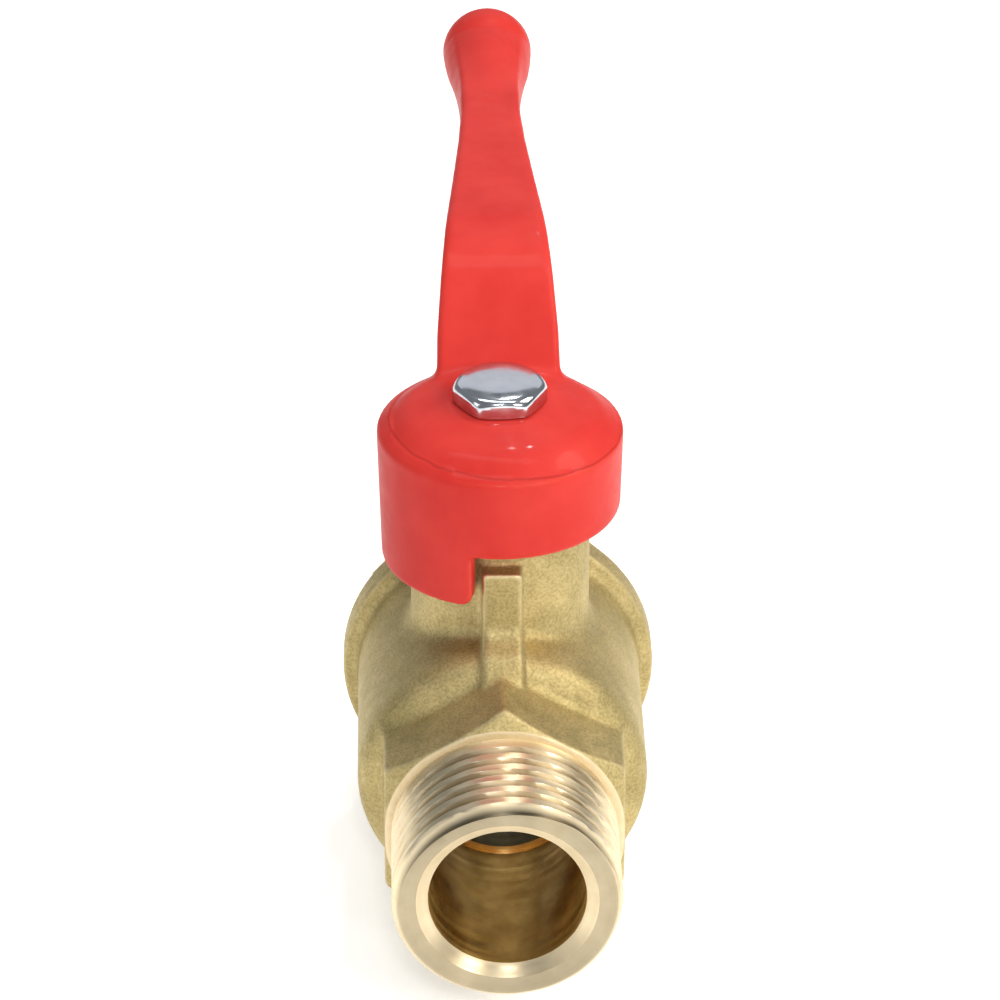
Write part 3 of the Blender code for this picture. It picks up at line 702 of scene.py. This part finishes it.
def male_end():
    """Threaded end with its face, bore, seat lip and the liner that runs into the forging."""
    run_out = 9.9
    rings = []
    for station in np.linspace(0.0, HEX_FRONT + 0.3, 170):
        fade = np.clip((run_out + 0.7 - station) / 0.9, 0.0, 1.0)
        radius = CREST_R - (CREST_R - ROOT_R) * groove(station, THREAD_START) * fade
        rings.append((np.minimum(radius, CREST_R - FACE_LEAD + station), station))
    rings += [(LINER_R, HEX_FRONT + 0.3), (LINER_R, POCKET_Y - 0.05)]
    rings += [(LIP_R, POCKET_Y - 0.05), (LIP_R, LIP_Y + LIP_RUN), (BORE_R, LIP_Y)]
    rings += [(BORE_R, BORE_MOUTH_Y), (BORE_MOUTH_R, 0.0)]
    finishes = [TURNED, BORE_SHADED, LIP_HIGHLIGHT, SHADED, FACE_SHADED, THREADED]
    piece = ring_skin("male_end", rings, finishes, looped=True)
    for face in piece.data.polygons:
        radius = math.hypot(face.center.x, face.center.z) / MM
        station = face.center.y / MM
        # Painted light by place: the bore and the bore past the lip take darkened copies of turned brass,
        # the lip cone a brightened one, and the end face a darkened one.
        finish = TURNED
        if radius < BORE_R + 0.1 and station < POCKET_Y - 0.1:
            finish = BORE_SHADED if station < LIP_Y else LIP_HIGHLIGHT if station < LIP_Y + LIP_RUN else SHADED
        elif station < 0.01:
            finish = FACE_SHADED
        elif radius > ROOT_R - 0.1:
            finish = THREADED
        face.material_index = finishes.index(finish)
    return finish_piece(piece, "body", "valve_body")


def body_forging():
    """The forging: hexagon, chamber, collar, neck and stop rib."""
    piece = field_object("body_forging", forging, (-15.6, 10.4, -15.6), (15.6, 44.1, 24.9), [FORGED])
    return finish_piece(piece, "body", "valve_body")


def octagon(flats):
    """Radius of an octagon at each angle, with flats square to the axes."""
    local = (angles() + math.pi / 8) % (math.pi / 4) - math.pi / 8
    return flats / 2 / np.cos(local)


def end_adapter():
    """Screwed end: spigot, eight flats with chamfered corners, and the threaded socket."""
    flats = octagon(ADAPTER_FLATS)
    rings = [(SPIGOT_R, ADAPTER_NOSE), (SPIGOT_R, ADAPTER_FRONT)]
    for depth in np.linspace(0.0, 0.7, 6):
        rings.append((np.minimum(flats, ADAPTER_FLATS / 2 + depth * 1.45), ADAPTER_FRONT + depth))
    for depth in np.linspace(0.7, 0.0, 6):
        rings.append((np.minimum(flats, SPIGOT_R + depth * 1.85), ADAPTER_REAR - depth))
    for depth in np.linspace(0.0, ADAPTER_REAR - SOCKET_BOTTOM - 0.1, 110):
        lead = CREST_R + 0.3 - depth
        fade = np.clip((ADAPTER_REAR - SOCKET_BOTTOM - 0.9 - depth) / 0.9, 0.0, 1.0)
        cut = groove(ADAPTER_REAR - depth, ADAPTER_REAR - 1.0) * fade
        radius = ROOT_R + (CREST_R - ROOT_R) * cut
        rings.append((np.maximum(radius, lead), ADAPTER_REAR - depth))
    rings += [(ADAPTER_BORE_R, SOCKET_BOTTOM), (ADAPTER_BORE_R, SEAT_POCKET_Y)]
    rings += [(SEAT_POCKET_R, SEAT_POCKET_Y), (SEAT_POCKET_R, ADAPTER_NOSE)]
    piece = ring_skin("end_adapter_turned", rings, [FORGED, TURNED], looped=True)
    for face in piece.data.polygons:
        radius = math.hypot(face.center.x, face.center.z) / MM
        face.material_index = int(radius < SPIGOT_R + 0.05)
    return finish_piece(piece, "body", "end_adapter")


def lever_casting():
    """The red lever."""
    piece = field_object("lever_casting", casting, (-12.0, STEM_Y - 12.0, 17.6),
                         (12.0, STEM_Y + 66.2, 46.3), [LACQUER])
    return finish_piece(piece, "handle", "lever")


def screw():
    """Plated hexagon screw with a domed head and worn corners."""
    top, bottom, tip = 36.35, CUP_SEAT[1] + 0.05, 23.6
    shank_r, tip_r = 2.2, 1.8
    half_flats, corner_r, worn = 4.2, 4.5, 14
    local = (angles() + math.pi / 6) % (math.pi / 3) - math.pi / 6
    sides = ((half_flats / np.cos(local)) ** -worn + corner_r ** -worn) ** (-1 / worn)
    dome = ((0.0, 0.5), (0.005, 1.3), (0.02, 2.0), (0.05, 2.6), (0.10, 3.1), (0.18, 3.5), (0.28, 3.8),
            (0.43, 4.02), (0.62, 4.2), (0.85, 4.34), (1.1, 4.43))
    rings = [(np.minimum(sides, radius), top - drop) for drop, radius in dome]
    rings += [(sides, bottom + 0.1), (sides - 0.1, bottom)]
    rings += [(shank_r, bottom), (shank_r, tip + 0.4), (tip_r, tip)]
    piece = ring_skin("hex_screw", rings, [CHROME], looped=False, axis="Z", centre=(0.0, STEM_Y),
                      turn=32.5, sharp=42.0)
    return finish_piece(piece, "handle", "lever_screw")


def dress_inner_pieces():
    """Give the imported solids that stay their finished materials."""
    finishes = {"ball": BALL_CHROME, "inlet_seat": PTFE, "outlet_seat": PTFE, "stem": TURNED,
                "stem_thrust_washer": PTFE, "stem_o_ring": RUBBER, "body_joint_seal": RUBBER,
                "packing_ring_lower": PTFE, "packing_ring_upper": PTFE, "gland_follower": TURNED,
                "gland_nut": TURNED}
    for name, material in finishes.items():
        for place in frame["nodes"][name].material_slots:
            place.material = material


# ---------------------------------------------------------------- surroundings

def floor():
    """Plain pale floor, just under the collar."""
    half = 3.0
    level = cad_low.z - 0.4 * MM
    mesh = bpy.data.meshes.new("floor")
    corners = [(-half, -half, level), (half, -half, level), (half, half, level), (-half, half, level)]
    mesh.from_pydata(corners, [], [(0, 1, 2, 3)])
    material = bpy.data.materials.new("floor_white")
    material.use_nodes = True
    shader = material.node_tree.nodes["Principled BSDF"]
    shader.inputs["Base Color"].default_value = (0.93, 0.93, 0.92, 1.0)
    shader.inputs["Roughness"].default_value = 0.9
    shader.inputs["Specular IOR Level"].default_value = 0.1
    shader.inputs["Emission Color"].default_value = (1.0, 1.0, 1.0, 1.0)
    shader.inputs["Emission Strength"].default_value = 0.44
    mesh.materials.append(material)
    ground = bpy.data.objects.new("floor", mesh)
    bpy.context.scene.collection.objects.link(ground)


def area_light(name, position, aim, size, power, colour=(1.0, 1.0, 1.0)):
    """Soft box that points at a place."""
    light = bpy.data.lights.new(name, "AREA")
    light.shape = "RECTANGLE"
    light.size, light.size_y = size
    light.energy = power
    light.color = colour
    lamp = bpy.data.objects.new(name, light)
    lamp.location = position
    lamp.rotation_euler = (Vector(aim) - Vector(position)).to_track_quat("-Z", "Y").to_euler()
    bpy.context.scene.collection.objects.link(lamp)


def studio():
    """Soft lights, the strongest from above and from the right, in a grey surround."""
    scene = bpy.context.scene
    scene.view_settings.view_transform = "Standard"
    world = bpy.data.worlds.new("studio")
    world.use_nodes = True
    back = world.node_tree.nodes["Background"]
    back.inputs["Color"].default_value = (0.80, 0.85, 0.90, 1.0)
    back.inputs["Strength"].default_value = 0.27
    scene.world = world
    middle = (0.0, STEM_Y * MM, 0.01)
    area_light("key", (0.38, 0.03, 0.41), middle, (0.20, 0.20), 1.25, (1.0, 0.94, 0.84))
    area_light("front_right", (0.27, -0.34, 0.26), middle, (0.11, 0.11), 0.88, (1.0, 0.95, 0.87))
    area_light("top", (-0.02, 0.04, 0.56), middle, (0.10, 0.46), 0.80)
    area_light("front", (0.0, -0.40, 0.35), middle, (0.06, 0.06), 0.58)
    area_light("left", (-0.40, -0.15, 0.22), middle, (0.14, 0.26), 0.18, (0.96, 0.98, 1.0))
    area_light("rear", (0.0, 0.80, 0.42), middle, (1.0, 0.34), 0.60, (0.94, 0.94, 1.0))
    for side in (0.032, 0.075):
        area_light("glint", (side, 0.27, 0.45), middle, (0.010, 0.010), 0.20)


def camera():
    """Camera at the fitted viewing angle, pitched up so that the valve sits low in the frame."""
    target = Vector((0.0, STEM_Y * MM, 0.010))
    azimuth, elevation, distance = math.radians(-1.25), math.radians(31.5), 0.4597
    pitch = math.radians(1.4506)
    back = Vector((math.sin(azimuth) * math.cos(elevation), -math.cos(azimuth) * math.cos(elevation),
                   math.sin(elevation)))
    lens = bpy.data.cameras.new("camera")
    lens.sensor_width = 36.0
    lens.lens = 174.4344
    lens.clip_start, lens.clip_end = 0.01, 20.0
    eye = bpy.data.objects.new("camera", lens)
    eye.location = target + back * distance
    eye.rotation_mode = "QUATERNION"
    eye.rotation_quaternion = (-back).to_track_quat("-Z", "Y") @ Quaternion((1.0, 0.0, 0.0), pitch)
    bpy.context.scene.collection.objects.link(eye)
    bpy.context.scene.camera = eye


male_end()
body_forging()
end_adapter()
lever_casting()
screw()
dress_inner_pieces()
floor()
studio()
camera()
